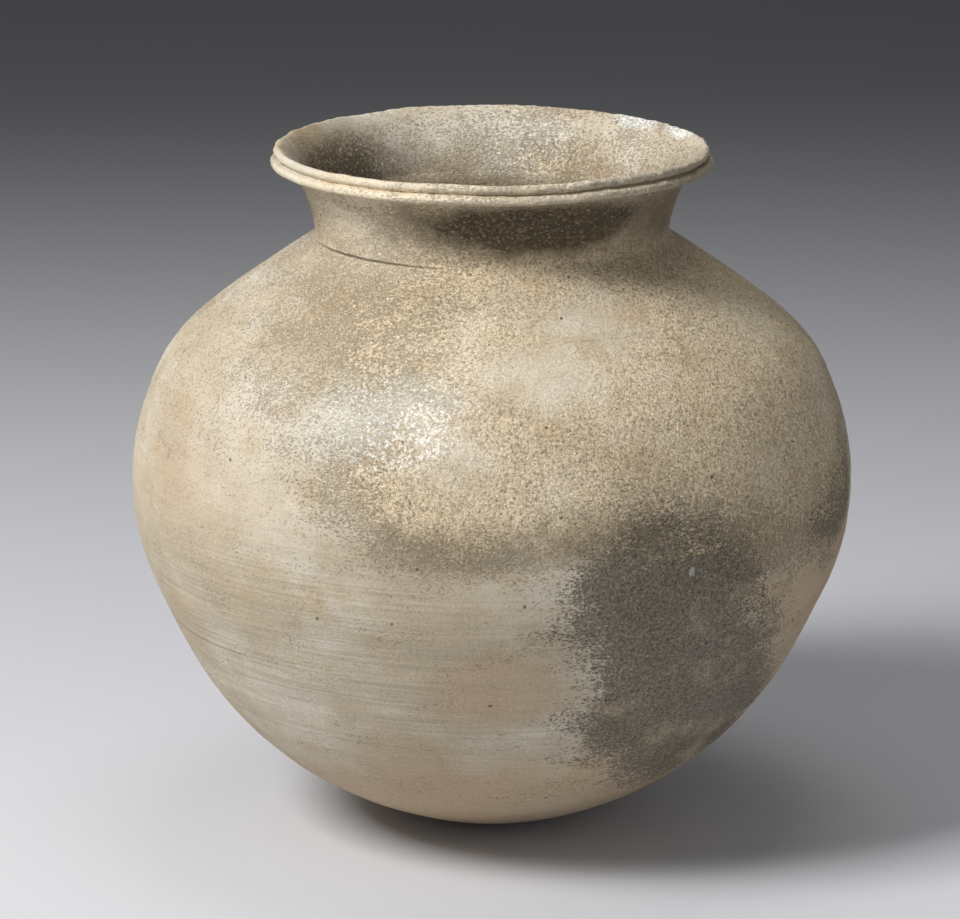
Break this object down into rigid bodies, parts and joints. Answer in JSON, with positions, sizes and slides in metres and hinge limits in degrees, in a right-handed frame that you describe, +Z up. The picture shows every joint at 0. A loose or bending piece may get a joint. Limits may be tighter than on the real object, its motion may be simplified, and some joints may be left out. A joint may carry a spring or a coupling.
{
  "type": "jar",
  "caption": "Large unglazed stoneware storage jar with a round belly, narrow flat foot, short neck and a flared mouth with a double-edged rim; natural ash on the shoulder.",
  "frame": {"origin": "centre of the flat foot, on the surface that the jar stands on", "axes": "+Z up along the axis of the jar; -Y is the side that the picture shows"},
  "size_m": [0.3596, 0.3596, 0.3435],
  "materials": {
    "lower_clay": "bare buff stoneware, smoked grey in places",
    "shoulder_clay": "stoneware under a rough crust of natural ash",
    "mouth_clay": "stoneware with thin brown ash on the neck and rim"
  },
  "bodies": {
    "root": {"base_disc": "lower_clay", "wall_coil_1": "lower_clay", "wall_coil_2": "lower_clay", "wall_coil_3": "lower_clay", "wall_coil_4": "lower_clay", "wall_coil_5": "shoulder_clay", "wall_coil_6": "shoulder_clay", "wall_coil_7": "shoulder_clay", "wall_coil_8": "shoulder_clay", "neck_collar": "mouth_clay", "mouth_flare": "mouth_clay", "rim_band": "mouth_clay"}
  },
  "joints": []
}
